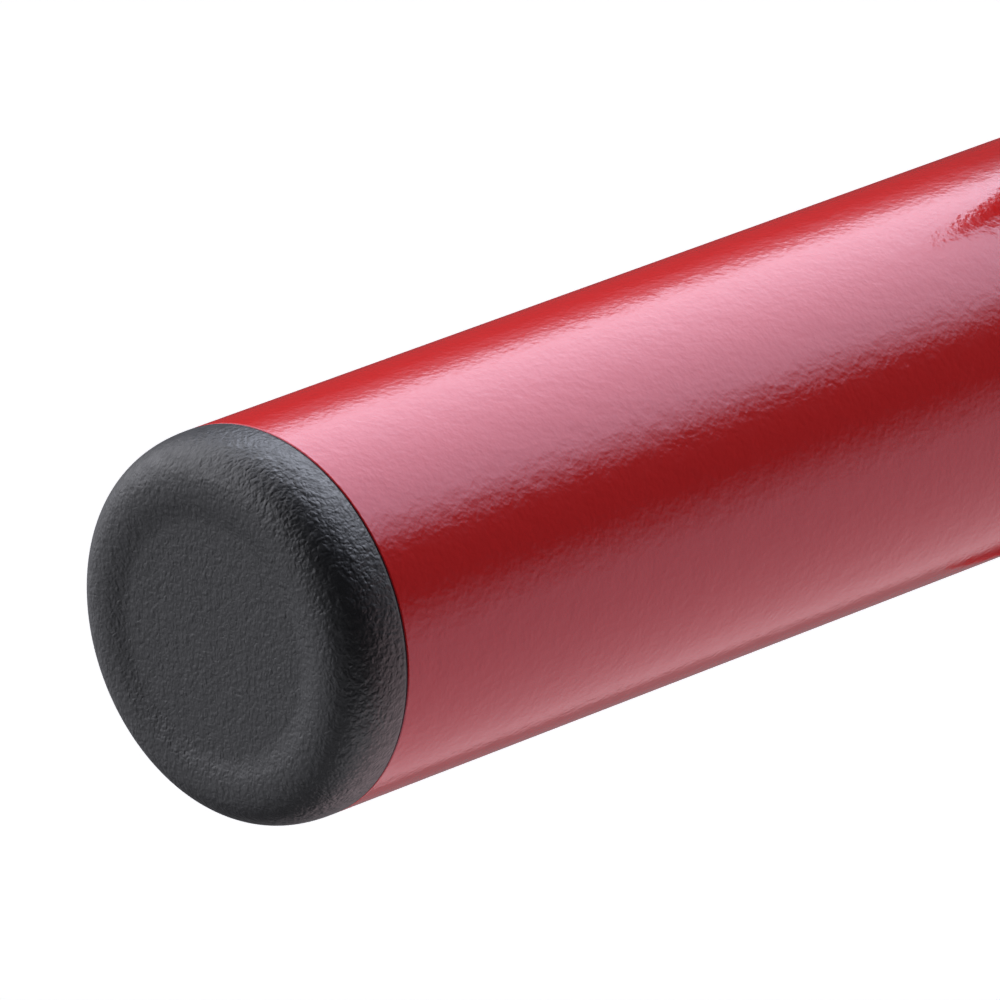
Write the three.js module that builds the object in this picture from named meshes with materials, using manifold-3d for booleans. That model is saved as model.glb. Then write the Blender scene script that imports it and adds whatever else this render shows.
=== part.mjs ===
// A manual post driver: a heavy steel tube, closed at the top by a moulded plug, with a steel weight
// welded inside its upper end and a looped handle on each side. It stands on its open mouth.
// Millimetres, +Z up along the tube, +X towards the right handle, origin at the centre of the mouth.
import * as THREE from "three";
import { mergeVertices } from "three/addons/utils/BufferGeometryUtils.js";
import Module from "manifold-3d";

const wasm = await Module();
wasm.setup();

// ---- driving dimensions ----
const TUBE_OD = 76.1; // nominal 76.1 x 5 mm steel tube
const TUBE_WALL = 5.0;
const TUBE_LENGTH = 640;
const GAP = 0.3; // air left between pieces that touch
const SIDES = 48; // facets round the tube and everything turned about its axis

const TUBE_R = TUBE_OD / 2;
const BORE_R = TUBE_R - TUBE_WALL;
const TUBE_EDGE = 0.6; // round on the outer edge at both ends
const MOUTH_LEAD_IN = 1.8; // chamfer that guides a post into the mouth

const PLUG_HEAD_HEIGHT = 13.2; // seat to the crest of the rim
const PLUG_CREST_R = 0.745 * TUBE_R;
const PLUG_LAND = 0.8; // straight stretch above the seat, flush with the tube
const PLUG_ROUNDING = 2.42; // superellipse power of the rim: 2 is an ellipse
const PLUG_DISH_DEPTH = 0.9;
const PLUG_DISH_FLAT_R = 0.58 * TUBE_R;
const PLUG_STEM_R = 28;
const PLUG_STEM_WALL = 3;
const PLUG_STEM_LENGTH = 33;
const PLUG_ROOF = 4.2; // thickness over the hollow stem, below the dish
const PLUG_HOLLOW_CORNER = 3; // chamfer between the hollow's wall and its roof
const PLUG_FINS = 4;
const PLUG_FIRST_FIN = 4; // above the foot of the stem
const PLUG_FIN_PITCH = 7;
const PLUG_FIN_TIP = 1.2;
const PLUG_FIN_ROOT = 2.6;

const WEIGHT_LENGTH = 105;
const WEIGHT_TOP = TUBE_LENGTH - 42;
const WEIGHT_CLEARANCE = 0.4; // radial, to the bore
const WEIGHT_BEVEL = 4; // top edge, prepared for the weld
const STRIKE_PLATE_THICKNESS = 15;
const STRIKE_PLATE_EDGE = 1;
const GROOVE = 3; // half width of the V groove between the weight and the strike plate

const COLLAR_HEIGHT = 30;
const COLLAR_THICKNESS = 4.5;
const COLLAR_EDGE = 1;
const COLLAR_WELD_LEG = 4;

const BAR_R = 8; // 16 mm round bar
const BAR_SIDES = 20;
const HANDLE_STANDOFF = 65; // tube surface to the centre of the grip
const HANDLE_SPAN = 300; // between the centres of the two legs
const HANDLE_TOP = TUBE_LENGTH - 222; // height of the upper leg
const HANDLE_BEND_R = 36; // to the centre of the bar
const BEND_STEPS = 6;
const BAR_WELD_LEG = 6;
const BAR_OVERRUN = 4; // legs and their welds start this far inside the tube and are trimmed to it

const GRIP_LENGTH = 216;
const GRIP_R = 15;
const GRIP_FLANGE_R = 19;
const GRIP_FLANGE = 5;
const GRIP_FLANGE_EDGE = 2;
const GRIP_NECK = 6; // from the flange to the barrel
const GRIP_NECK_R = 14;
const GRIP_SIDES = 24;

// ---- materials ----
const RED_PAINT = new THREE.MeshStandardMaterial({ color: 0xb01820, roughness: 0.3, metalness: 0.0 });
const BLACK_PLASTIC = new THREE.MeshStandardMaterial({ color: 0x2e3034, roughness: 0.75, metalness: 0.0 });
const BLACK_RUBBER = new THREE.MeshStandardMaterial({ color: 0x1c1c1e, roughness: 0.85, metalness: 0.0 });
const BARE_STEEL = new THREE.MeshStandardMaterial({ color: 0x6e6e70, roughness: 0.45, metalness: 1.0 });

// ---- helpers ----

// A profile of [radius, height] points turned about Z. It runs anticlockwise, starts and ends on the
// axis, or closes on itself.
function turned(profile, sides = SIDES) {
  const points = profile.map(([r, z]) => new THREE.Vector2(Math.max(r, 0), z));
  const onAxis = points[0].x === 0 && points.at(-1).x === 0;
  if (!onAxis) points.push(points[0].clone());
  return new THREE.LatheGeometry(points, sides).rotateX(Math.PI / 2);
}

// Points on a quarter round from angle a to angle b, in degrees, about [r, z].
function round(r, z, radius, a, b, steps = 3) {
  return Array.from({ length: steps + 1 }, (_, i) => {
    const angle = THREE.MathUtils.degToRad(a + ((b - a) * i) / steps);
    return [r + radius * Math.cos(angle), z + radius * Math.sin(angle)];
  });
}

function toSolid(geometry) {
  const bare = geometry.clone();
  bare.deleteAttribute("normal");
  bare.deleteAttribute("uv");
  const merged = mergeVertices(bare, 1e-4);
  return new wasm.Manifold(
    new wasm.Mesh({
      numProp: 3,
      vertProperties: new Float32Array(merged.attributes.position.array),
      triVerts: new Uint32Array(merged.index.array),
    }),
  );
}

function toGeometry(solid) {
  const mesh = solid.getMesh();
  const geometry = new THREE.BufferGeometry();
  geometry.setAttribute("position", new THREE.BufferAttribute(mesh.vertProperties, 3));
  geometry.setIndex(new THREE.BufferAttribute(mesh.triVerts, 1));
  geometry.computeVertexNormals();
  return geometry;
}

// Everything inside the tube's outer surface, a gap larger, for fitting pieces to the outside of it.
const tubeEnvelope = toSolid(
  new THREE.CylinderGeometry(TUBE_R + GAP, TUBE_R + GAP, TUBE_LENGTH, SIDES)
    .rotateX(Math.PI / 2)
    .translate(0, 0, TUBE_LENGTH / 2),
);

const trimmedToTube = (geometry) => toGeometry(toSolid(geometry).subtract(tubeEnvelope));

const driver = new THREE.Group();

function add(name, geometry, material) {
  const mesh = new THREE.Mesh(geometry, material);
  mesh.name = name;
  driver.add(mesh);
  return mesh;
}

// ---- the tube ----
function driverTube() {
  return turned([
    [BORE_R, TUBE_LENGTH],
    [BORE_R, MOUTH_LEAD_IN],
    [BORE_R + MOUTH_LEAD_IN, 0],
    ...round(TUBE_R - TUBE_EDGE, TUBE_EDGE, TUBE_EDGE, -90, 0, 2),
    ...round(TUBE_R - TUBE_EDGE, TUBE_LENGTH - TUBE_EDGE, TUBE_EDGE, 0, 90, 2),
  ]);
}

// ---- the moulded plug: a dished head with a rounded rim, on a hollow stem with sealing fins ----
function endPlug() {
  const seat = TUBE_LENGTH + GAP;
  const crest = seat + PLUG_HEAD_HEIGHT;
  const stemFoot = seat - PLUG_STEM_LENGTH;
  const finR = BORE_R - GAP;

  // The fins lean up the bore, as they do once the plug is driven in.
  const fins = [];
  for (let i = 0; i < PLUG_FINS; i++) {
    const z = stemFoot + PLUG_FIRST_FIN + i * PLUG_FIN_PITCH;
    fins.push([PLUG_STEM_R, z], [finR, z + PLUG_FIN_ROOT - PLUG_FIN_TIP]);
    fins.push([finR, z + PLUG_FIN_ROOT], [PLUG_STEM_R, z + PLUG_FIN_ROOT]);
  }

  const rimSteps = 8;
  const rim = Array.from({ length: rimSteps + 1 }, (_, i) => {
    const t = (i / rimSteps) * (Math.PI / 2);
    const power = 2 / PLUG_ROUNDING;
    return [
      PLUG_CREST_R + (TUBE_R - PLUG_CREST_R) * Math.max(Math.cos(t), 0) ** power,
      seat + PLUG_LAND + (PLUG_HEAD_HEIGHT - PLUG_LAND) * Math.sin(t) ** power,
    ];
  });

  // From the crest a smooth S curve falls to the flat of the dish.
  const dishSteps = 5;
  const dish = Array.from({ length: dishSteps }, (_, i) => {
    const t = (i + 1) / dishSteps;
    return [
      PLUG_CREST_R + (PLUG_DISH_FLAT_R - PLUG_CREST_R) * t,
      crest - PLUG_DISH_DEPTH * t * t * (3 - 2 * t),
    ];
  });

  const roof = crest - PLUG_DISH_DEPTH - PLUG_ROOF;
  const hollowR = PLUG_STEM_R - PLUG_STEM_WALL;
  return turned([
    [0, roof],
    [hollowR - PLUG_HOLLOW_CORNER, roof],
    [hollowR, roof - PLUG_HOLLOW_CORNER],
    [hollowR, stemFoot],
    [PLUG_STEM_R, stemFoot],
    ...fins,
    [PLUG_STEM_R, seat],
    [TUBE_R, seat],
    ...rim,
    ...dish,
    [0, crest - PLUG_DISH_DEPTH],
  ]);
}

// ---- the weight inside, its strike plate, and the welds that hold them ----
const weightR = BORE_R - WEIGHT_CLEARANCE;
const weightFoot = WEIGHT_TOP - WEIGHT_LENGTH;
const strikeFace = weightFoot - GAP - STRIKE_PLATE_THICKNESS;

function driveWeight() {
  return turned([
    [0, weightFoot],
    [weightR - GROOVE, weightFoot],
    [weightR, weightFoot + GROOVE],
    [weightR, WEIGHT_TOP - WEIGHT_BEVEL],
    [weightR - WEIGHT_BEVEL, WEIGHT_TOP],
    [0, WEIGHT_TOP],
  ]);
}

function weightWeld() {
  return turned([
    [weightR + 0.1, WEIGHT_TOP - WEIGHT_BEVEL + 2 * GAP],
    [weightR + 0.1, WEIGHT_TOP + 3],
    [weightR - 2.2, WEIGHT_TOP + 2.2],
    [weightR - WEIGHT_BEVEL - 1, WEIGHT_TOP + GAP],
    [weightR - WEIGHT_BEVEL + 2 * GAP, WEIGHT_TOP + GAP],
  ]);
}

function strikePlate() {
  const top = weightFoot - GAP;
  return turned([
    [0, strikeFace],
    [weightR - STRIKE_PLATE_EDGE, strikeFace],
    [weightR, strikeFace + STRIKE_PLATE_EDGE],
    [weightR, top - GROOVE],
    [weightR - GROOVE, top],
    [0, top],
  ]);
}

function strikePlateWeld() {
  const joint = weightFoot - GAP / 2;
  const depth = GROOVE - 2 * GAP;
  return turned([
    [weightR - depth, joint],
    [weightR, joint - depth],
    [weightR, joint + depth],
  ]);
}

// ---- the collar that stops the mouth from splitting ----
const collarR = TUBE_R + COLLAR_THICKNESS;

function mouthCollar() {
  const inner = TUBE_R + GAP;
  return turned([
    [inner, COLLAR_HEIGHT],
    [inner, 0],
    ...round(collarR - COLLAR_EDGE, COLLAR_EDGE, COLLAR_EDGE, -90, 0, 2),
    ...round(collarR - COLLAR_EDGE, COLLAR_HEIGHT - COLLAR_EDGE, COLLAR_EDGE, 0, 90, 2),
  ]);
}

function collarWeld() {
  const foot = COLLAR_HEIGHT + GAP;
  const inner = TUBE_R + GAP;
  const slope = COLLAR_WELD_LEG - GAP;
  return turned([
    [inner, foot + slope],
    [inner, foot],
    [inner + slope - 1, foot],
    [inner + slope * 0.6, foot + slope * 0.6],
  ]);
}

// ---- the handles ----

// The centreline of one handle: out from the tube, round a bend, down beside it, and back in.
// Its points come in even steps of t and not of length, so the straight stretches take one step each.
class HandlePath extends THREE.Curve {
  constructor() {
    super();
    const reach = TUBE_R + HANDLE_STANDOFF;
    const legStart = TUBE_R - BAR_OVERRUN;
    const foot = HANDLE_TOP - HANDLE_SPAN;
    const bendX = reach - HANDLE_BEND_R;
    this.points = [[legStart, HANDLE_TOP]];
    this.points.push(...round(bendX, HANDLE_TOP - HANDLE_BEND_R, HANDLE_BEND_R, 90, 0, BEND_STEPS));
    this.points.push(...round(bendX, foot + HANDLE_BEND_R, HANDLE_BEND_R, 0, -90, BEND_STEPS));
    this.points.push([legStart, foot]);
    this.steps = this.points.length - 1;
  }
  getUtoTmapping(u) {
    return u;
  }
  getPoint(t) {
    const at = Math.min(t * this.steps, this.steps - 1e-9);
    const i = Math.floor(at);
    const [ax, az] = this.points[i];
    const [bx, bz] = this.points[i + 1];
    return new THREE.Vector3(ax + (bx - ax) * (at - i), 0, az + (bz - az) * (at - i));
  }
  // The tangent at a station is the mean of the stretches that meet there, so the sections mitre.
  getTangent(t) {
    const station = Math.round(t * this.steps);
    const before = this.points[Math.max(station - 1, 0)];
    const here = this.points[station];
    const after = this.points[Math.min(station + 1, this.steps)];
    const arrive = new THREE.Vector3(here[0] - before[0], 0, here[1] - before[1]).normalize();
    const leave = new THREE.Vector3(after[0] - here[0], 0, after[1] - here[1]).normalize();
    return arrive.add(leave).normalize();
  }
}

function handleBar() {
  const path = new HandlePath();
  const section = new THREE.Shape().absarc(0, 0, BAR_R, 0, 2 * Math.PI);
  return trimmedToTube(
    new THREE.ExtrudeGeometry(section, {
      extrudePath: path,
      steps: path.steps,
      curveSegments: BAR_SIDES,
      bevelEnabled: false,
    }),
  );
}

// A fillet weld round the root of one leg, shaped to the curve of the tube.
function legWeld(height) {
  const inner = BAR_R + GAP;
  const ring = turned(
    [
      [inner, TUBE_R - BAR_OVERRUN],
      [BAR_R + BAR_WELD_LEG + 1, TUBE_R - BAR_OVERRUN],
      [BAR_R + BAR_WELD_LEG - 0.5, TUBE_R + 0.5],
      [BAR_R + BAR_WELD_LEG * 0.55, TUBE_R + BAR_WELD_LEG * 0.6],
      [inner + 0.6, TUBE_R + BAR_WELD_LEG],
      [inner, TUBE_R + BAR_WELD_LEG],
    ],
    BAR_SIDES,
  );
  return trimmedToTube(ring.rotateY(Math.PI / 2).translate(0, 0, height));
}

function grip() {
  const half = GRIP_LENGTH / 2;
  const barrel = half - GRIP_FLANGE - GRIP_NECK;
  const inner = BAR_R + GAP;
  const centre = HANDLE_TOP - HANDLE_SPAN / 2;
  return turned(
    [
      [inner, half],
      [inner, -half],
      [GRIP_FLANGE_R - GRIP_FLANGE_EDGE, -half],
      [GRIP_FLANGE_R, -half + GRIP_FLANGE_EDGE],
      [GRIP_FLANGE_R, -half + GRIP_FLANGE],
      [GRIP_NECK_R, -barrel],
      [GRIP_R, -barrel * 0.4],
      [GRIP_R, barrel * 0.4],
      [GRIP_NECK_R, barrel],
      [GRIP_FLANGE_R, half - GRIP_FLANGE],
      [GRIP_FLANGE_R, half - GRIP_FLANGE_EDGE],
      [GRIP_FLANGE_R - GRIP_FLANGE_EDGE, half],
    ],
    GRIP_SIDES,
  ).translate(TUBE_R + HANDLE_STANDOFF, 0, centre);
}

// ---- assembly ----
add("driver_tube", driverTube(), RED_PAINT);
add("end_plug", endPlug(), BLACK_PLASTIC);
add("drive_weight", driveWeight(), BARE_STEEL);
add("weight_weld", weightWeld(), BARE_STEEL);
add("strike_plate", strikePlate(), BARE_STEEL);
add("strike_plate_weld", strikePlateWeld(), BARE_STEEL);
add("mouth_collar", mouthCollar(), RED_PAINT);
add("collar_weld", collarWeld(), RED_PAINT);

for (const [side, turn] of [["right", 0], ["left", Math.PI]]) {
  add(`${side}_handle`, handleBar(), RED_PAINT).rotation.z = turn;
  add(`${side}_grip`, grip(), BLACK_RUBBER).rotation.z = turn;
  add(`${side}_upper_weld`, legWeld(HANDLE_TOP), RED_PAINT).rotation.z = turn;
  add(`${side}_lower_weld`, legWeld(HANDLE_TOP - HANDLE_SPAN), RED_PAINT).rotation.z = turn;
}

export default driver;
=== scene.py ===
# The looks of a manual post driver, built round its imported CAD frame.
# Metres, +Z up along the tube, +X towards the right handle, origin at the centre of the open mouth.
import math

import bmesh
import bpy
from mathutils import Matrix, Vector, noise


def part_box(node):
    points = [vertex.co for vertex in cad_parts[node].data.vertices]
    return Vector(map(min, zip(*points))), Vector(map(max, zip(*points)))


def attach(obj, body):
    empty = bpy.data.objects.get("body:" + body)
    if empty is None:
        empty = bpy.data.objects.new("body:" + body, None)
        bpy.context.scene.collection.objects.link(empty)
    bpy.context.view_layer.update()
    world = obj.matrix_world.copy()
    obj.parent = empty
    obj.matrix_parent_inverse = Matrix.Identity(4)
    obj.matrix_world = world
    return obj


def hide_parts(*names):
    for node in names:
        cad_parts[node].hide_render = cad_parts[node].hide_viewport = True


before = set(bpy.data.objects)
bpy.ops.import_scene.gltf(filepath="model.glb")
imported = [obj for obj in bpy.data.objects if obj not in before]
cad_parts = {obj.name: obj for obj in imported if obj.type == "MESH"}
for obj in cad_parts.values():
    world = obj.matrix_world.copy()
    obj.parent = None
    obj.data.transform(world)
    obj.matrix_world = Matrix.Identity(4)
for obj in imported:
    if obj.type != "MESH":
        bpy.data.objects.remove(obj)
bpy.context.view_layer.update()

MM = 0.001
TAU = 2 * math.pi

# ---- sizes, from the frame where it has them ----
TUBE_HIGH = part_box("driver_tube")[1]
PLUG_LOW, PLUG_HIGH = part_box("end_plug")
WEIGHT_LOW, WEIGHT_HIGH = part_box("drive_weight")
PLATE_LOW, PLATE_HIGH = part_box("strike_plate")
COLLAR_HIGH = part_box("mouth_collar")[1]
GRIP_LOW, GRIP_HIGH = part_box("right_grip")
HANDLE_LOW, HANDLE_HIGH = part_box("right_handle")

CONTACT_GAP = 0.1 * MM  # drawn between pieces that touch
CAD_GAP = 0.3 * MM  # kept by the frame between pieces that touch

TUBE_R = TUBE_HIGH.x
TUBE_TOP = TUBE_HIGH.z
TUBE_WALL = 5 * MM
BORE_R = TUBE_R - TUBE_WALL
TUBE_EDGE = 0.6 * MM
TUBE_SIDES = 256
MOUTH_LEAD_IN = 1.8 * MM

PLUG_SEAT = TUBE_TOP + 0.08 * MM
PLUG_CREST = PLUG_HIGH.z
PLUG_CREST_R = 0.745 * TUBE_R
PLUG_EDGE = 0.15 * MM
PLUG_LAND = 0.8 * MM  # the upright part of the rim
PLUG_ROUNDING = 2.42  # power of the rim's superellipse, where 2 would be an ellipse
PLUG_DISH_DEPTH = 0.9 * MM
PLUG_DISH_FLAT_R = 0.58 * TUBE_R
PLUG_SIDES = 224
RIM_STEPS = 40
DISH_STEPS = 24

STEM_FOOT = PLUG_LOW.z
STEM_R = 28 * MM
STEM_WALL = 3 * MM
STEM_EDGE = 1 * MM
STEM_ROOF = 4.2 * MM  # between the hollow and the dish
STEM_ROOF_ROUND = 3 * MM
FINS = 4
FIRST_FIN = 4 * MM  # above the stem's foot
FIN_PITCH = 7 * MM
FIN_ROOT = 2.6 * MM
FIN_TIP_R = 0.6 * MM
FIN_CLEARANCE = 0.4 * MM

SLUG_SIDES = 128
WEIGHT_BEVEL = 4 * MM
PLATE_EDGE = 1 * MM
WELD_GROOVE = 3 * MM  # the bevels where weight and plate meet
GROOVE_FILL = 2.3 * MM

COLLAR_EDGE = 1 * MM
COLLAR_BORE_EDGE = 0.3 * MM

BAR_R = HANDLE_HIGH.y
BAR_SIDES = 48
REACH = HANDLE_HIGH.x - BAR_R
LEG_TOP = HANDLE_HIGH.z - BAR_R
LEG_FOOT = HANDLE_LOW.z + BAR_R
LEG_STEPS = 4
RUN_STEPS = 12
BEND_R = 36 * MM
BEND_STEPS = 28

GRIP_MID = (GRIP_LOW.z + GRIP_HIGH.z) / 2
GRIP_HALF = (GRIP_HIGH.z - GRIP_LOW.z) / 2
GRIP_SIDES = 72
GRIP_LIP = 0.6 * MM
GRIP_FLANGE_R = GRIP_HIGH.y
GRIP_FLANGE = 5 * MM
FLANGE_OUTER_ROUND = 2 * MM
FLANGE_INNER_ROUND = 1.6 * MM
FLANGE_INNER_DROP = 0.6 * MM
GRIP_R = 15 * MM
GRIP_NECK_R = 14 * MM
GRIP_NECK = 6 * MM
NECK_FILLET = 5 * MM
NECK_FILLET_DROP = 0.5 * MM
GRIP_PLAIN = 10 * MM  # barrel without ribs, both ends together
RIB_PITCH = 6 * MM
RIB_DEPTH = 1.1 * MM
RIB_SAMPLES = 9
RIB_SHARPNESS = 1.6

# Weld beads: their legs, and how many ripples go round.
WEIGHT_WELD_LEG = 5 * MM
WEIGHT_WELD_RIPPLES = 56
WEIGHT_WELD_SINK = 3.2 * MM  # of its root below the weight's top
COLLAR_WELD_LEG = 3.6 * MM
COLLAR_WELD_RIPPLES = 74
HANDLE_WELD_LEG = 5.6 * MM
HANDLE_WELD_RIPPLES = 30
BEAD_ACROSS = 9
RIPPLE_SAMPLES = 8
# A bead's shape. Its wander, its crown and the height of its ripples are shares of the leg.
BEAD_WANDER = 0.06
BEAD_CROWN = 0.10
RIPPLE_HEIGHT = 0.055
RIPPLE_TAPER = 0.6  # power by which a ripple fades out at the bead's sides
RIPPLE_CURL = 0.8  # in ripples: how far the ends trail the middle
RIPPLE_WANDER = 0.3  # in ripples: how uneven the spacing is
RIPPLE_FRONT = 0.3  # share of a ripple that is its steep front
DIAGONAL = 0.7  # share of an outward step that goes along each leg


# ---- node helpers ----
class Nodes:
    """Short calls that add nodes to a tree and wire them."""

    def __init__(self, tree):
        self.tree = tree

    def node(self, kind, inputs=(), **settings):
        """Adds a node. inputs has pairs of a socket's name or number and a value or an output to link."""
        made = self.tree.nodes.new(kind)
        for key, value in settings.items():
            setattr(made, key, value)
        for socket, value in inputs:
            self.put(made.inputs[socket], value)
        return made

    def put(self, socket, value):
        """Links an output into a socket, or sets the socket to a plain value."""
        if isinstance(value, bpy.types.NodeSocket):
            self.tree.links.new(value, socket)
        else:
            socket.default_value = value

    def blend(self, factor, a, b):
        """Mixes two colours, each an output or an (r, g, b)."""
        made = self.node("ShaderNodeMix", [(0, factor)], data_type="RGBA")
        colours = [socket for socket in made.inputs if socket.type == "RGBA"]
        for socket, value in zip(colours, (a, b)):
            self.put(socket, (*value, 1.0) if isinstance(value, tuple) else value)
        return next(socket for socket in made.outputs if socket.type == "RGBA")


class Shader(Nodes):
    """A new material with a Principled shader, and the calls that the materials need."""

    def __init__(self, name):
        self.material = bpy.data.materials.new(name)
        self.material.use_nodes = True
        super().__init__(self.material.node_tree)
        self.surface = self.tree.nodes["Principled BSDF"]
        self.place = self.node("ShaderNodeTexCoord").outputs["Object"]

    def set(self, **values):
        """Sets or links the Principled shader's sockets, by their names with _ for a space."""
        for key, value in values.items():
            self.put(self.surface.inputs[key.replace("_", " ")], value)

    def math(self, operation, a, b=0.0):
        return self.node("ShaderNodeMath", [(0, a), (1, b)], operation=operation).outputs[0]

    def noise(self, scale, detail=2.0, roughness=0.5, vector=None):
        inputs = [("Scale", scale), ("Detail", detail), ("Roughness", roughness)]
        return self.node("ShaderNodeTexNoise", inputs + [("Vector", vector or self.place)]).outputs["Fac"]

    def cells(self, scale):
        """Distance to the nearest of many scattered points, without creases between them."""
        inputs = [("Scale", scale), ("Vector", self.place)]
        return self.node("ShaderNodeTexVoronoi", inputs, feature="SMOOTH_F1").outputs["Distance"]

    def stretched(self, x, y, z):
        inputs = [(0, self.place), (1, (x, y, z))]
        return self.node("ShaderNodeVectorMath", inputs, operation="MULTIPLY").outputs[0]

    def remap(self, value, low, high, to_low=0.0, to_high=1.0):
        inputs = [("Value", value), ("From Min", low), ("From Max", high)]
        inputs += [("To Min", to_low), ("To Max", to_high)]
        return self.node("ShaderNodeMapRange", inputs, clamp=True).outputs["Result"]

    def bump(self, height, distance, under=None):
        """Relief as deep as distance where height is 1, on top of the relief of another bump."""
        made = self.node("ShaderNodeBump", [("Distance", distance), ("Height", height)])
        if under is not None:
            self.put(made.inputs["Normal"], under)
        return made.outputs["Normal"]

    def axis(self, name):
        return self.node("ShaderNodeSeparateXYZ", [(0, self.place)]).outputs[name]

    def radius(self):
        """Distance from the tube's axis."""
        inputs = [(0, self.stretched(1.0, 1.0, 0.0))]
        return self.node("ShaderNodeVectorMath", inputs, operation="LENGTH").outputs["Value"]

    def rings(self):
        """Coordinates that don't change round the axis, for marks left by turning."""
        inputs = [("X", self.radius()), ("Z", self.axis("Z"))]
        return self.node("ShaderNodeCombineXYZ", inputs).outputs[0]


# ---- materials ----
DEEP_RED = (0.645, 0.0165, 0.0155)
BRIGHT_RED = (0.685, 0.0185, 0.0170)
PALE_DUST = (0.30, 0.20, 0.17)
BROWN_RUST = (0.16, 0.07, 0.035)
# Painted shade: a dark maroon that stands in for the shadow in the gap under the plug.
SEAM_SHADE = (0.050, 0.008, 0.012)
BLACK_PLASTIC = (0.0060, 0.0064, 0.0076)
GREYER_PLASTIC = (0.0085, 0.0090, 0.0106)
BLACK_RUBBER = (0.012, 0.012, 0.013)
BLOOMED_RUBBER = (0.026, 0.025, 0.024)
RUBBER_DUST = (0.11, 0.095, 0.08)
MILL_GREY = (0.34, 0.335, 0.33)
MILL_BROWN = (0.15, 0.085, 0.05)
WORN_STEEL = (0.42, 0.41, 0.40)
PLATE_BROWN = (0.12, 0.06, 0.035)

# How far up from the mouth each kind of wear reaches.
DUST_REACH = 160 * MM
CHIP_REACH = 60 * MM
OVERSPRAY_REACH = 120 * MM
# Radii between which the paint's outside gives way to the bore.
BORE_SKIN_OUT = BORE_R + 0.5 * MM
BORE_SKIN_IN = BORE_R + 0.3 * MM
# Heights between which the painted shade in the plug's seam sets in: a dark band that stands in for the
# shadow in the gap under the plug.
SEAM_SHADE_FOOT = TUBE_TOP - 0.32 * MM
SEAM_SHADE_FULL = TUBE_TOP - 0.14 * MM


def bare_metal(s, height):
    """1 where the powder coat is missing: in chips round the mouth, and up the bore past the overspray."""
    chips = s.noise(160, detail=5, roughness=0.65, vector=s.stretched(1.0, 1.0, 0.35))
    chipped = s.remap(s.math("SUBTRACT", chips, s.remap(height, 0.0, CHIP_REACH, 0.62, 0.95)), 0.0, 0.012)
    overspray = s.math("ADD", s.noise(90, detail=4), s.remap(height, 0.0, OVERSPRAY_REACH, 0.45, -0.3))
    inside = s.remap(s.radius(), BORE_SKIN_OUT, BORE_SKIN_IN)
    unpainted = s.math("MULTIPLY", inside, s.remap(overspray, 0.62, 0.5))
    return s.math("MAXIMUM", chipped, unpainted)


def red_powder_coat():
    """Gloss red with a fine orange peel: dusty low down, chipped at the mouth, with painted shade darkening
    the top edge in the plug's seam.
    """
    s = Shader("red_powder_coat")
    height = s.axis("Z")
    bare = bare_metal(s, height)
    rust = s.remap(s.noise(75, detail=6, roughness=0.65), 0.42, 0.62)
    # Painted shade: the tube's top edge darkens into the seam under the plug, standing in for the shadow
    # there.
    seam = s.remap(height, SEAM_SHADE_FOOT, SEAM_SHADE_FULL)
    streaks = s.noise(260, detail=3, vector=s.stretched(1.0, 1.0, 0.02))
    dust = s.math("MULTIPLY", s.remap(streaks, 0.5, 0.75), s.remap(height, 0.0, DUST_REACH, 0.35, 0.0))
    colour = s.blend(s.noise(35, detail=3), DEEP_RED, BRIGHT_RED)
    colour = s.blend(dust, colour, PALE_DUST)
    colour = s.blend(bare, colour, s.blend(rust, WORN_STEEL, BROWN_RUST))
    s.set(Base_Color=s.blend(seam, colour, SEAM_SHADE))
    s.set(Metallic=s.math("MULTIPLY", bare, s.remap(rust, 0.0, 1.0, 0.6, 0.1)))

    gloss = s.remap(s.noise(420, detail=3), 0.3, 0.7, 0.13, 0.18)
    worn = s.math("MAXIMUM", s.math("MULTIPLY", bare, 0.5), s.math("MULTIPLY", seam, 0.8))
    s.set(Roughness=s.math("MAXIMUM", s.math("ADD", gloss, s.math("MULTIPLY", dust, 0.3)), worn))
    s.set(IOR=1.65)
    s.set(Specular_Tint=(0.91, 0.83, 1.0, 1.0))
    waves = s.bump(s.noise(230, detail=1), 0.09 * MM)
    peel = s.bump(s.noise(820, detail=1.5), 0.075 * MM, under=waves)
    s.set(Normal=s.bump(s.math("SUBTRACT", 1.0, bare), 0.08 * MM, under=peel))
    return s.material


def grained_plastic():
    """Black polyethylene with a leathery moulded grain: pebbles, worm-like creases and broad patches."""
    s = Shader("grained_plastic")
    s.set(Base_Color=s.blend(s.noise(90, detail=4), BLACK_PLASTIC, GREYER_PLASTIC))
    s.set(Roughness=s.remap(s.noise(500, detail=2), 0.3, 0.7, 0.39, 0.50))
    s.set(Specular_IOR_Level=0.84)
    patches = s.bump(s.noise(340, detail=2), 0.14 * MM)
    creases = s.math("ABSOLUTE", s.math("SUBTRACT", s.noise(780, detail=1), 0.5))
    worms = s.bump(creases, 0.32 * MM, under=patches)
    s.set(Normal=s.bump(s.noise(900, detail=1), 0.21 * MM, under=worms))
    return s.material


def ribbed_rubber():
    """Black rubber with a fine mould grain, dusty in places."""
    s = Shader("ribbed_rubber")
    colour = s.blend(s.noise(60, detail=5, roughness=0.6), BLACK_RUBBER, BLOOMED_RUBBER)
    dust = s.remap(s.noise(240, detail=5, roughness=0.7), 0.56, 0.80, 0.0, 0.35)
    s.set(Base_Color=s.blend(dust, colour, RUBBER_DUST))
    s.set(Roughness=s.remap(s.noise(300, detail=4), 0.3, 0.7, 0.46, 0.66))
    s.set(Normal=s.bump(s.noise(1700, detail=3), 0.07 * MM))
    return s.material


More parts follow.
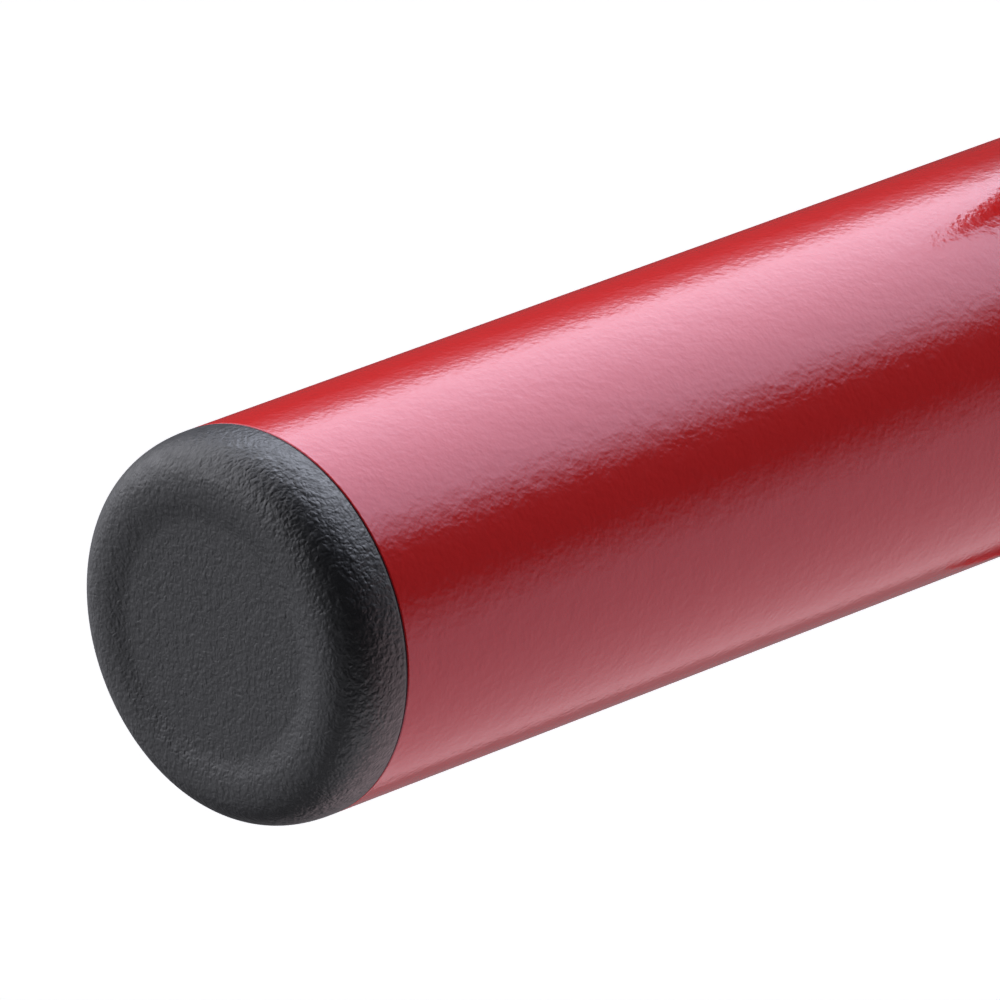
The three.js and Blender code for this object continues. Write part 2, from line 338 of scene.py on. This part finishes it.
def mill_steel():
    """Bare steel: grey mill finish, turning marks and faint brown bloom."""
    s = Shader("mill_steel")
    bloom = s.remap(s.noise(70, detail=6, roughness=0.65), 0.48, 0.68)
    s.set(Base_Color=s.blend(bloom, MILL_GREY, MILL_BROWN))
    s.set(Metallic=s.remap(bloom, 0.0, 1.0, 0.95, 0.35))
    s.set(Roughness=s.remap(s.noise(220, detail=4), 0.3, 0.7, 0.32, 0.55))
    turning = s.bump(s.noise(1500, detail=1, vector=s.rings()), 0.03 * MM)
    s.set(Normal=s.bump(s.noise(900, detail=3), 0.03 * MM, under=turning))
    return s.material


def struck_steel():
    """The strike plate: hard steel, peened bright by blows in the middle and brown at the edge."""
    s = Shader("struck_steel")
    outwards = s.remap(s.radius(), 0.6 * PLATE_HIGH.x, PLATE_HIGH.x, -0.15, 0.4)
    rust = s.remap(s.math("ADD", outwards, s.noise(90, detail=5)), 0.52, 0.75)
    s.set(Base_Color=s.blend(rust, WORN_STEEL, PLATE_BROWN))
    s.set(Metallic=s.remap(rust, 0.0, 1.0, 0.95, 0.2))
    s.set(Roughness=s.remap(s.noise(260, detail=4), 0.3, 0.7, 0.26, 0.5))
    dents = s.bump(s.cells(160), 0.5 * MM)
    s.set(Normal=s.bump(s.noise(800, detail=3), 0.04 * MM, under=dents))
    return s.material


# ---- mesh helpers ----
def arc(r, z, radius, start, end, steps=6):
    """Points round part of a circle about (r, z), angles in degrees."""
    angles = [math.radians(start + (end - start) * i / steps) for i in range(steps + 1)]
    return [(r + radius * math.cos(a), z + radius * math.sin(a)) for a in angles]


def to_axis(r, z, steps=6):
    """Points on a flat round face at height z, from one step inside radius r to the axis."""
    return [(r * k / steps, z) for k in range(steps - 1, -1, -1)]


def ring_mesh(rings, closed_profile):
    """Quads between neighbouring rings of points. A ring of one point closes the surface there."""
    bm = bmesh.new()
    rows = [[bm.verts.new(p) for p in ring] for ring in rings]
    pairs = list(zip(rows, rows[1:]))
    if closed_profile:
        pairs.append((rows[-1], rows[0]))
    for a, b in pairs:
        count = max(len(a), len(b))
        for i in range(count):
            j = (i + 1) % count
            corners = [a[i % len(a)], a[j % len(a)], b[j % len(b)], b[i % len(b)]]
            bm.faces.new(list(dict.fromkeys(corners)))
    bmesh.ops.recalc_face_normals(bm, faces=bm.faces)
    return bm


def turned(profile, sides, closed=False):
    """A surface of revolution about the tube's axis, from a profile of (radius, height)."""
    angles = [TAU * i / sides for i in range(sides)]
    rings = []
    for r, z in profile:
        if r < 1e-9:
            rings.append([(0.0, 0.0, z)])
        else:
            rings.append([(r * math.cos(a), r * math.sin(a), z) for a in angles])
    return ring_mesh(rings, closed)


def piece(name, bm, material, node, sharp=40):
    """Turns a bmesh into a smooth-shaded piece that rides on the root and stands for a CAD node."""
    mesh = bpy.data.meshes.new(name)
    bm.to_mesh(mesh)
    bm.free()
    mesh.shade_smooth()
    mesh.set_sharp_from_angle(angle=math.radians(sharp))
    mesh.materials.append(material)
    made = bpy.data.objects.new(name, mesh)
    bpy.context.scene.collection.objects.link(made)
    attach(made, "root")
    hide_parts(node)


def bead(name, place, leg, ripples, material, node, seed):
    """A fillet weld with overlapping ripples. place(angle, a, b) puts a point a along the base and b up."""
    rings = [[] for _ in range(BEAD_ACROSS + 2)]
    steps = ripples * RIPPLE_SAMPLES
    for i in range(steps):
        angle = TAU * i / steps
        wander = noise.noise(Vector((math.cos(angle) * 3, math.sin(angle) * 3, seed)))
        size = leg * (1 + BEAD_WANDER * wander)
        for k in range(BEAD_ACROSS + 1):
            s = k / BEAD_ACROSS
            edge = math.sin(math.pi * s)
            phase = (i / RIPPLE_SAMPLES + RIPPLE_CURL * (2 * s - 1) ** 2 + RIPPLE_WANDER * wander) % 1.0
            scale = math.sin(math.pi / 2 * min(phase / RIPPLE_FRONT, (1 - phase) / (1 - RIPPLE_FRONT)))
            ripple = RIPPLE_HEIGHT * leg * edge ** RIPPLE_TAPER * scale
            out = (BEAD_CROWN * leg * edge + ripple) * DIAGONAL
            rings[k].append(place(angle, size * s + out, size * (1 - s) + out))
        rings[-1].append(place(angle, 0.0, 0.0))
    piece(name, ring_mesh(rings, True), material, node, sharp=60)


# ---- the tube ----
def driver_tube(paint):
    profile = [(BORE_R, TUBE_TOP - TUBE_EDGE / 2), (BORE_R, MOUTH_LEAD_IN)]
    profile += [(BORE_R + MOUTH_LEAD_IN, 0.0)]
    profile += arc(TUBE_R - TUBE_EDGE, TUBE_EDGE, TUBE_EDGE, -90, 0)
    profile += arc(TUBE_R - TUBE_EDGE, TUBE_TOP - TUBE_EDGE, TUBE_EDGE, 0, 90)
    profile += [(BORE_R + TUBE_EDGE / 2, TUBE_TOP)]
    piece("tube_shell", turned(profile, TUBE_SIDES, closed=True), paint, "driver_tube")


# ---- the plug ----
def plug_stem():
    """From the hollow's roof down its wall, round the foot and up past the fins to the seat."""
    hollow_r = STEM_R - STEM_WALL
    roof = PLUG_CREST - PLUG_DISH_DEPTH - STEM_ROOF
    profile = [(0.0, roof)]
    profile += arc(hollow_r - STEM_ROOF_ROUND, roof - STEM_ROOF_ROUND, STEM_ROOF_ROUND, 90, 0, 8)
    profile += arc(hollow_r + STEM_EDGE, STEM_FOOT + STEM_EDGE, STEM_EDGE, 180, 270, 4)
    profile += arc(STEM_R - STEM_EDGE, STEM_FOOT + STEM_EDGE, STEM_EDGE, 270, 360, 4)
    for i in range(FINS):
        foot = STEM_FOOT + FIRST_FIN + i * FIN_PITCH
        tip_r = BORE_R - (FIN_CLEARANCE + FIN_TIP_R)
        profile += [(STEM_R, foot)]
        profile += arc(tip_r, foot + (FIN_ROOT - FIN_TIP_R), FIN_TIP_R, -40, 90, 5)
        profile += [(STEM_R, foot + FIN_ROOT)]
    return profile + [(STEM_R, PLUG_SEAT)]


def plug_rim():
    """From the seat out to the tube's surface, up the land and over the rounding to the crest."""
    profile = [(TUBE_R - PLUG_EDGE, PLUG_SEAT), (TUBE_R, PLUG_SEAT + PLUG_EDGE)]
    head = PLUG_CREST - PLUG_SEAT - PLUG_LAND
    power = 2 / PLUG_ROUNDING
    for i in range(RIM_STEPS + 1):
        t = i / RIM_STEPS * math.pi / 2
        out = max(math.cos(t), 0.0) ** power
        up = math.sin(t) ** power
        profile.append((PLUG_CREST_R + (TUBE_R - PLUG_CREST_R) * out, PLUG_SEAT + PLUG_LAND + head * up))
    return profile


def plug_dish():
    """From the crest down an S curve to the flat of the dish, and in to the axis."""
    profile = []
    for i in range(1, DISH_STEPS + 1):
        t = i / DISH_STEPS
        r = PLUG_CREST_R + (PLUG_DISH_FLAT_R - PLUG_CREST_R) * t
        fall = t * t * (3 - 2 * t)
        profile.append((r, PLUG_CREST - PLUG_DISH_DEPTH * fall))
    return profile + to_axis(PLUG_DISH_FLAT_R, PLUG_CREST - PLUG_DISH_DEPTH)


def end_plug(plastic):
    bm = turned(plug_stem() + plug_rim() + plug_dish(), PLUG_SIDES)
    piece("plug_body", bm, plastic, "end_plug", sharp=50)


# ---- the weight, the strike plate and their welds ----
def drive_weight(steel):
    r = WEIGHT_HIGH.x
    profile = [(0.0, WEIGHT_LOW.z), (r - WELD_GROOVE, WEIGHT_LOW.z), (r, WEIGHT_LOW.z + WELD_GROOVE)]
    profile += [(r, WEIGHT_HIGH.z - WEIGHT_BEVEL), (r - WEIGHT_BEVEL, WEIGHT_HIGH.z)]
    profile += to_axis(r, WEIGHT_HIGH.z)
    piece("steel_slug", turned(profile, SLUG_SIDES), steel, "drive_weight")


def strike_plate(hard_steel):
    r = PLATE_HIGH.x
    profile = [(0.0, PLATE_LOW.z)]
    profile += arc(r - PLATE_EDGE, PLATE_LOW.z + PLATE_EDGE, PLATE_EDGE, -90, 0, 5)
    profile += [(r, PLATE_HIGH.z - WELD_GROOVE), (r - WELD_GROOVE, PLATE_HIGH.z), (0.0, PLATE_HIGH.z)]
    piece("strike_disc", turned(profile, SLUG_SIDES), hard_steel, "strike_plate")


def weight_weld(steel):
    def up_the_bore(angle, a, b):
        r = WEIGHT_HIGH.x - a
        return (r * math.cos(angle), r * math.sin(angle), WEIGHT_HIGH.z - WEIGHT_WELD_SINK + b)

    ripples = WEIGHT_WELD_RIPPLES
    bead("slug_bead", up_the_bore, WEIGHT_WELD_LEG, ripples, steel, "weight_weld", 1.0)


def strike_plate_weld(steel):
    """A ring of weld that fills the groove between the weight and the plate."""
    r = WEIGHT_HIGH.x
    outer = r - CONTACT_GAP
    joint = WEIGHT_LOW.z - CAD_GAP / 2
    profile = [(r - GROOVE_FILL, joint), (outer, joint - GROOVE_FILL), (outer, joint + GROOVE_FILL)]
    bm = turned(profile, SLUG_SIDES, closed=True)
    piece("plate_bead", bm, steel, "strike_plate_weld")


# ---- the collar ----
def mouth_collar(paint):
    outer = COLLAR_HIGH.x - COLLAR_EDGE
    inner = TUBE_R + CONTACT_GAP
    profile = [(inner, COLLAR_HIGH.z), (inner, COLLAR_BORE_EDGE), (inner + COLLAR_BORE_EDGE, 0.0)]
    profile += arc(outer, COLLAR_EDGE, COLLAR_EDGE, -90, 0)
    profile += arc(outer, COLLAR_HIGH.z - COLLAR_EDGE, COLLAR_EDGE, 0, 90)
    piece("collar_ring", turned(profile, TUBE_SIDES, closed=True), paint, "mouth_collar")


def collar_weld(paint):
    def round_the_tube(angle, a, b):
        r = TUBE_R + a
        return (r * math.cos(angle), r * math.sin(angle), COLLAR_HIGH.z + b)

    ripples = COLLAR_WELD_RIPPLES
    bead("collar_bead", round_the_tube, COLLAR_WELD_LEG, ripples, paint, "collar_weld", 2.0)


# ---- the handles ----
def handle_route():
    """Centreline points (x, z): out along the upper leg, round both bends and back along the lower leg."""
    bend = REACH - BEND_R
    run = LEG_TOP - LEG_FOOT - 2 * BEND_R
    route = [(TUBE_R + (bend - TUBE_R) * k / LEG_STEPS, LEG_TOP) for k in range(LEG_STEPS)]
    route += arc(bend, LEG_TOP - BEND_R, BEND_R, 90, 0, BEND_STEPS)
    route += [(REACH, LEG_TOP - BEND_R - run * k / RUN_STEPS) for k in range(1, RUN_STEPS)]
    route += arc(bend, LEG_FOOT + BEND_R, BEND_R, 0, -90, BEND_STEPS)
    route += [(bend + (TUBE_R - bend) * k / LEG_STEPS, LEG_FOOT) for k in range(1, LEG_STEPS + 1)]
    return route


def middle(ring):
    """A ring of one point, which closes the end of a bar."""
    return [tuple(sum(values) / len(ring) for values in zip(*ring))]


def handle(side, sign, paint):
    """A round bar swept along the route, with its two ends cut to the curve of the tube."""
    route = handle_route()
    last = len(route) - 1
    rings = []
    for i, (x, z) in enumerate(route):
        ax, az = route[max(i - 1, 0)]
        bx, bz = route[min(i + 1, last)]
        along = Vector((bx - ax, 0.0, bz - az)).normalized()
        normal = Vector((-along.z, 0.0, along.x))
        ring = []
        for k in range(BAR_SIDES):
            angle = TAU * k / BAR_SIDES
            sideways = Vector((0, 1, 0)) * BAR_R * math.sin(angle)
            p = Vector((x, 0.0, z)) + normal * BAR_R * math.cos(angle) + sideways
            if i in (0, last):
                p.x = math.sqrt(TUBE_R**2 - p.y**2) + CONTACT_GAP
            ring.append((sign * p.x, sign * p.y, p.z))
        rings.append(ring)
    rings = [middle(rings[0])] + rings + [middle(rings[-1])]
    piece(f"{side}_bar", ring_mesh(rings, False), paint, f"{side}_handle", sharp=50)


def leg_weld(side, sign, level, height, paint, seed):
    def saddle(angle, a, b):
        out = BAR_R + a
        y = out * math.cos(angle)
        x = math.sqrt(TUBE_R**2 - y**2) + b
        return (sign * x, sign * y, height + out * math.sin(angle))

    name = f"{side}_{level}_bead"
    node = f"{side}_{level}_weld"
    bead(name, saddle, HANDLE_WELD_LEG, HANDLE_WELD_RIPPLES, paint, node, seed)


def grip_end():
    """The grip's lower end, from its bore round the flange to the neck."""
    foot = -GRIP_HALF
    inner = BAR_R + CONTACT_GAP
    barrel = GRIP_HALF - GRIP_FLANGE - GRIP_NECK
    outer, shoulder = FLANGE_OUTER_ROUND, FLANGE_INNER_ROUND
    profile = [(inner, foot + GRIP_LIP), (inner + GRIP_LIP, foot)]
    profile += arc(GRIP_FLANGE_R - outer, foot + outer, outer, -90, 0)
    profile += arc(GRIP_FLANGE_R - shoulder, foot + GRIP_FLANGE - FLANGE_INNER_DROP, shoulder, 0, 60, 5)
    profile += arc(GRIP_NECK_R + NECK_FILLET, -barrel - NECK_FILLET_DROP, NECK_FILLET, 240, 180, 8)
    return profile


def grip_ribs():
    """The barrel, which swells towards its middle, with a groove between each rib and the next."""
    barrel = GRIP_HALF - GRIP_FLANGE - GRIP_NECK
    ribs = round((2 * barrel - GRIP_PLAIN) / RIB_PITCH)
    ribbed = ribs * RIB_PITCH / 2
    steps = ribs * RIB_SAMPLES
    profile = []
    for i in range(steps + 1):
        z = -ribbed + 2 * ribbed * i / steps
        swell = GRIP_NECK_R + (GRIP_R - GRIP_NECK_R) * (1 - (z / ribbed) ** 2)
        groove = max(0.0, math.cos(TAU * i / RIB_SAMPLES)) ** RIB_SHARPNESS
        profile.append((swell - RIB_DEPTH * groove, z))
    return profile


def grip(side, sign, rubber):
    lower = grip_end()
    upper = [(r, -z) for r, z in reversed(lower)]
    bm = turned(lower + grip_ribs() + upper, GRIP_SIDES, closed=True)
    bmesh.ops.translate(bm, verts=bm.verts, vec=(sign * REACH, 0.0, GRIP_MID))
    piece(f"{side}_sleeve", bm, rubber, f"{side}_grip", sharp=50)


# ---- the floor ----
FLOOR_HALF = 30.0
FLOOR_WHITE = (0.92, 0.92, 0.92, 1.0)
FLOOR_GLOW = 0.58


def pale_floor():
    """White paper that glows a little. It isn't mirrored in the object and sends it no light."""
    bm = bmesh.new()
    bmesh.ops.create_grid(bm, x_segments=8, y_segments=8, size=FLOOR_HALF)
    mesh = bpy.data.meshes.new("floor")
    bm.to_mesh(mesh)
    bm.free()
    s = Shader("floor_paper")
    s.set(Base_Color=FLOOR_WHITE, Roughness=0.9)
    s.set(Emission_Color=(1.0, 1.0, 1.0, 1.0), Emission_Strength=FLOOR_GLOW)
    mesh.materials.append(s.material)
    floor = bpy.data.objects.new("floor", mesh)
    bpy.context.scene.collection.objects.link(floor)
    floor.visible_glossy = False
    floor.visible_diffuse = False
    floor.visible_shadow = False


# ---- the light ----
def grey(level):
    """Light from a pale wall, a little cool."""
    return (0.93 * level, 0.93 * level, level)


def blush(level):
    """Light from the pale wall low down beside the object, which picks up its red."""
    return (1.22 * level, 0.93 * level, level)


def daylight(level):
    """Light from the soft box, cooler than the walls."""
    return (0.84 * level, 0.88 * level, 1.02 * level)


# The studio round the object, as light by compass angle in degrees from +X towards +Y, in three belts.
# The upright tube mirrors the low belt, the plug's rim the middle one and its face the high one. A broad
# soft box stands on the +X side with a window above and behind it, a pale wall runs round the -X side, and
# black gaps lie round the camera and beyond the box.
GAP = grey(0.01)
DARK_WALL = grey(0.07)
SHADED_WALL = grey(0.3)
PALE_WALL = blush(0.86)
PALE_WALL_END = blush(1.1)
LOW_BELT = [
    (-100, PALE_WALL), (-76, DARK_WALL), (-48, DARK_WALL), (-29, daylight(2.8)), (22, daylight(4.5)),
    (42, daylight(4.4)), (55, daylight(0.5)), (70, DARK_WALL), (110, DARK_WALL), (140, SHADED_WALL),
    (160, SHADED_WALL), (168, PALE_WALL_END),
]
FILL = grey(1.0)
WINDOW = grey(2.05)
MIDDLE_BELT = [
    (-155, FILL), (-135, FILL), (-115, GAP), (5, GAP), (35, WINDOW), (80, WINDOW), (98, grey(1.0)),
    (115, grey(0.75)), (132, grey(0.15)), (176, grey(0.05)),
]
SKYLIGHT = grey(2.2)
HIGH_BELT = [
    (-135, grey(0.2)), (-90, DARK_WALL), (5, GAP), (50, SKYLIGHT), (75, SKYLIGHT), (95, grey(0.75)),
    (140, grey(0.65)), (175, grey(0.3)),
]
OVERHEAD = grey(0.15)
UNDERFOOT = grey(0.8)
# Where each belt gives way to the one above, as heights on a sphere of radius 1.
BELT_EDGES = ((-0.95, -0.82), (-0.52, -0.12), (0.3, 0.55), (0.8, 1.0))
BACKDROP = 1.05


class World(Nodes):
    """A new world shader, and the calls that the studio needs."""

    def __init__(self, name):
        self.world = bpy.data.worlds.new(name)
        self.world.use_nodes = True
        super().__init__(self.world.node_tree)
        self.tree.nodes.clear()

    def compass(self, direction):
        """0 to 1 round the horizon, from -X by way of -Y, +X and +Y."""
        inputs = [(0, direction.outputs["Y"]), (1, direction.outputs["X"])]
        turn = self.node("ShaderNodeMath", inputs, operation="ARCTAN2").outputs[0]
        span = [("Value", turn), ("From Min", -math.pi), ("From Max", math.pi)]
        return self.node("ShaderNodeMapRange", span).outputs["Result"]

    def belt(self, compass, stops):
        """A ramp of light by compass angle, which joins up with itself behind the object."""
        (first_angle, first), (last_angle, last) = stops[0], stops[-1]
        part = (180 - last_angle) / (first_angle + 360 - last_angle)
        behind = tuple(b + (a - b) * part for a, b in zip(first, last))
        stops = [(-180, behind)] + stops + [(180, behind)]
        made = self.node("ShaderNodeValToRGB", [(0, compass)])
        elements = made.color_ramp.elements
        while len(elements) < len(stops):
            elements.new(0.5)
        for element, (angle, _) in zip(elements, stops):
            element.position = (angle + 180) / 360
        for element, (_, colour) in zip(elements, stops):
            element.color = (*colour, 1.0)
        return made.outputs["Color"]

    def step(self, value, low, high):
        """0 below low, 1 above high and a smooth rise between."""
        inputs = [("Value", value), ("From Min", low), ("From Max", high)]
        return self.node("ShaderNodeMapRange", inputs, interpolation_type="SMOOTHSTEP").outputs["Result"]


def studio_light():
    """Lights the object with the belts, and shows the camera a plain backdrop in their place."""
    w = World("studio")
    direction = w.node("ShaderNodeSeparateXYZ", [(0, w.node("ShaderNodeTexCoord").outputs["Generated"])])
    compass = w.compass(direction)
    belts = [w.belt(compass, stops) for stops in (LOW_BELT, MIDDLE_BELT, HIGH_BELT)]
    tent = UNDERFOOT
    for edge, above in zip(BELT_EDGES, belts + [OVERHEAD]):
        tent = w.blend(w.step(direction.outputs["Z"], *edge), tent, above)
    glow = w.node("ShaderNodeBackground", [("Color", tent), ("Strength", 1.0)])
    backdrop = w.node("ShaderNodeBackground", [("Strength", BACKDROP)])
    seen = w.node("ShaderNodeLightPath").outputs["Is Camera Ray"]
    mixed = w.node("ShaderNodeMixShader", [(0, seen), (1, glow.outputs[0]), (2, backdrop.outputs[0])])
    w.node("ShaderNodeOutputWorld", [("Surface", mixed.outputs[0])])
    bpy.context.scene.world = w.world


# ---- the camera ----
VIEW_AZIMUTH = math.radians(29.13)
VIEW_ELEVATION = math.radians(41.79)
VIEW_ROLL = math.radians(-110.36)
VIEW_DISTANCE = 2955.4 * MM
VIEW_LENS_MM = 574.2
SENSOR_MM = 36.0
VIEW_END = 100.0
AIM_RIGHT = 44.2 * MM
AIM_UP = 22.56 * MM


def camera():
    """Looks down on the plugged end through a very long lens, rolled so that the tube lies across."""
    a, e = VIEW_AZIMUTH, VIEW_ELEVATION
    back = Vector((math.sin(a) * math.cos(e), -math.cos(a) * math.cos(e), math.sin(e)))
    level = Vector((math.cos(a), math.sin(a), 0.0))
    above = back.cross(level)
    right = level * math.cos(VIEW_ROLL) + above * math.sin(VIEW_ROLL)
    up = back.cross(right)
    aim = Vector((0.0, 0.0, TUBE_TOP)) + right * AIM_RIGHT + up * AIM_UP
    data = bpy.data.cameras.new("camera")
    data.lens = VIEW_LENS_MM
    data.sensor_width = SENSOR_MM
    data.clip_end = VIEW_END
    made = bpy.data.objects.new("camera", data)
    bpy.context.scene.collection.objects.link(made)
    turn = Matrix((right, up, back)).transposed().to_4x4()
    made.matrix_world = Matrix.Translation(aim + back * VIEW_DISTANCE) @ turn
    bpy.context.scene.camera = made


# ---- assembly ----
camera()
paint = red_powder_coat()
plastic = grained_plastic()
rubber = ribbed_rubber()
steel = mill_steel()

driver_tube(paint)
end_plug(plastic)
drive_weight(steel)
strike_plate(struck_steel())
weight_weld(steel)
strike_plate_weld(steel)
mouth_collar(paint)
collar_weld(paint)
for side, sign in (("right", 1), ("left", -1)):
    handle(side, sign, paint)
    grip(side, sign, rubber)
    leg_weld(side, sign, "upper", LEG_TOP, paint, 3.0 + sign)
    leg_weld(side, sign, "lower", LEG_FOOT, paint, 6.0 + sign)

pale_floor()
studio_light()
bpy.context.scene.view_settings.view_transform = "Standard"
